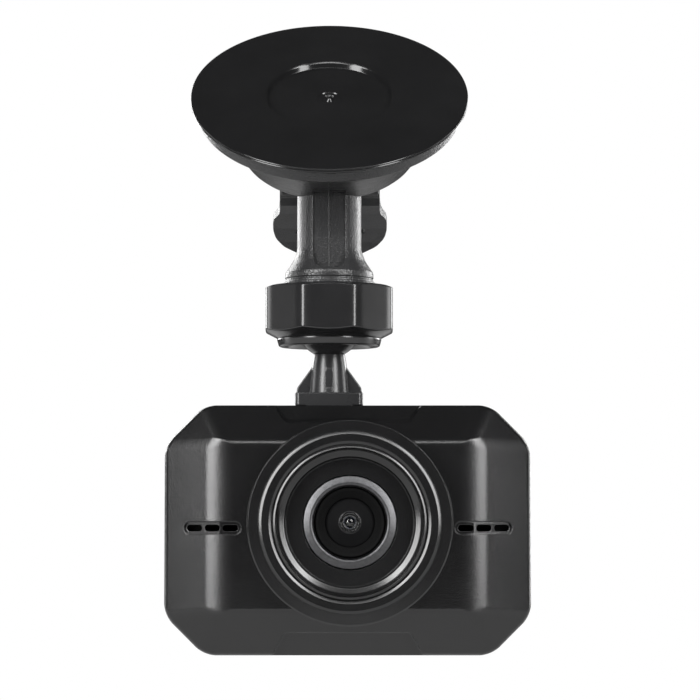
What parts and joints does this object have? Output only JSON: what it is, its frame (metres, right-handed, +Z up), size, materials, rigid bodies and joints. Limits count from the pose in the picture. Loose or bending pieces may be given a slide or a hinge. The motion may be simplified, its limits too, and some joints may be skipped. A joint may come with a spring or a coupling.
{
  "type": "dash camera",
  "caption": "Dash camera: octagonal-cornered case with a round lens barrel and rear screen, hung from a suction cup by a short arm with a lock nut and ball joint.",
  "frame": {"origin": "centre of the suction pad's flat face, where it meets the windscreen", "axes": "+Z up, -Y the way the lens looks, +X to the right as seen from in front of the lens; the pad's face leans 40 degrees from level towards -Y"},
  "size_m": [0.08, 0.0512, 0.1445],
  "materials": {
    "suction_gel": "glossy flexible pad",
    "arm_plastic": "grained black moulding",
    "lever_plastic": "grained black moulding",
    "nylon_black": "smooth black nylon",
    "nut_plastic": "smooth semi-gloss black",
    "foot_plastic": "smooth semi-gloss black",
    "pin_steel": "ground pin",
    "friction_rubber": "dense rubber",
    "case_plastic": "fine satin grain",
    "bezel_plastic": "fine satin grain",
    "funnel_plastic": "semi-gloss black",
    "trim_metal": "satin grey bevelled ring",
    "barrel_black": "black anodised",
    "lens_glass": "coated glass",
    "filter_glass": "coated glass",
    "spacer_black": "matt black",
    "holder_plastic": "moulded",
    "sensor_die": "ceramic package",
    "board_green": "solder mask",
    "chip_black": "epoxy package",
    "flex_amber": "polyimide",
    "cell_foil": "foil pouch",
    "speaker_frame": "paper cone in steel frame",
    "can_steel": "tinned can",
    "socket_steel": "tinned shell",
    "foam_black": "foam",
    "lcd_stack": "panel frame and glass",
    "window_black": "clear acrylic, black printed edge",
    "button_plastic": "semi-gloss",
    "switch_mix": "switch body",
    "led_white": "led package",
    "pipe_clear": "clear acrylic",
    "screw_steel": "black oxide",
    "screw_bright": "zinc"
  },
  "bodies": {
    "arm": {"suction_pad": "suction_gel", "mount_arm": "arm_plastic"},
    "socket_pad_body": {"ball_friction_pad": "friction_rubber"},
    "plunger_body": {"plunger": "nylon_black", "lever_pin": "pin_steel"},
    "lever_body": {"lock_lever": "lever_plastic"},
    "ring_body": {"socket_ring": "nylon_black"},
    "nut_body": {"lock_nut": "nut_plastic"},
    "ball_body": {"joint_ball": "foot_plastic"},
    "foot_body": {"mount_foot": "foot_plastic"},
    "camera_body": {"front_shell": "case_plastic", "back_shell": "case_plastic", "lens_bezel": "bezel_plastic", "bezel_funnel": "funnel_plastic", "lens_trim_ring": "trim_metal", "lens_barrel": "barrel_black", "lens_front_element": "lens_glass", "lens_second_element": "lens_glass", "lens_spacer": "spacer_black", "lens_rear_element": "lens_glass", "lens_holder": "holder_plastic", "ir_filter": "filter_glass", "image_sensor": "sensor_die", "sensor_board": "board_green", "main_board": "board_green", "processor_chip": "chip_black", "memory_chip": "chip_black", "sensor_flex": "flex_amber", "battery_cell": "cell_foil", "speaker": "speaker_frame", "microphone": "can_steel", "usb_socket": "socket_steel", "card_socket": "socket_steel", "lcd_backing_pad": "foam_black", "lcd_panel": "lcd_stack", "lcd_gasket": "foam_black", "lcd_window": "window_black", "tact_switches": "switch_mix", "status_led": "led_white", "status_light_pipe": "pipe_clear", "case_screws": "screw_steel", "board_screws": "screw_bright"},
    "button_power_body": {"button_power": "button_plastic"},
    "button_menu_body": {"button_menu": "button_plastic"},
    "button_up_body": {"button_up": "button_plastic"},
    "button_down_body": {"button_down": "button_plastic"},
    "button_ok_body": {"button_ok": "button_plastic"}
  },
  "joints": [
    {"name": "plunger_slide", "type": "slide", "parent": "arm", "child": "plunger_body", "axis": [0, -0.6428, 0.766], "range_m": [0, 0.0023]},
    {"name": "lever_hinge", "type": "hinge", "parent": "plunger_body", "child": "lever_body", "pos_m": [0, 0.01607, -0.01915], "axis": [1, 0, 0], "range_deg": [0, 95.01]},
    {"name": "ring_drop", "type": "slide", "parent": "arm", "child": "ring_body", "axis": [0, 0, -1], "range_m": [0, 0.001]},
    {"name": "nut_turn", "type": "hinge", "parent": "ring_body", "child": "nut_body", "pos_m": [0, 0, -0.0495], "axis": [0, 0, 1], "range_deg": [0, 180.01]},
    {"name": "ball_yaw", "type": "hinge", "parent": "arm", "child": "socket_pad_body", "pos_m": [0, 0, -0.052], "axis": [0, 0, 1], "continuous": true},
    {"name": "ball_pitch", "type": "hinge", "parent": "socket_pad_body", "child": "ball_body", "pos_m": [0, 0, -0.052], "axis": [1, 0, 0], "range_deg": [-22, 22]},
    {"name": "ball_roll", "type": "hinge", "parent": "ball_body", "child": "foot_body", "pos_m": [0, 0, -0.052], "axis": [0, 1, 0], "range_deg": [-22, 22]},
    {"name": "camera_slide", "type": "slide", "parent": "foot_body", "child": "camera_body", "axis": [0, -1, 0], "range_m": [0, 0.02]},
    {"name": "press_power", "type": "slide", "parent": "camera_body", "child": "button_power_body", "axis": [0, -1, 0], "range_m": [0, 0.0005], "stiffness_N_per_m": 1200, "springref_m": -0.0003},
    {"name": "press_menu", "type": "slide", "parent": "camera_body", "child": "button_menu_body", "axis": [0, -1, 0], "range_m": [0, 0.0005], "stiffness_N_per_m": 1200, "springref_m": -0.0003},
    {"name": "press_up", "type": "slide", "parent": "camera_body", "child": "button_up_body", "axis": [0, -1, 0], "range_m": [0, 0.0005], "stiffness_N_per_m": 1200, "springref_m": -0.0003},
    {"name": "press_down", "type": "slide", "parent": "camera_body", "child": "button_down_body", "axis": [0, -1, 0], "range_m": [0, 0.0005], "stiffness_N_per_m": 1200, "springref_m": -0.0003},
    {"name": "press_ok", "type": "slide", "parent": "camera_body", "child": "button_ok_body", "axis": [0, -1, 0], "range_m": [0, 0.0005], "stiffness_N_per_m": 1200, "springref_m": -0.0003}
  ],
  "couplings": [
    {"joint": "lever_hinge", "follows": "plunger_slide", "rad_per_m": 720.9},
    {"joint": "nut_turn", "follows": "ring_drop", "rad_per_m": 3141.6}
  ]
}
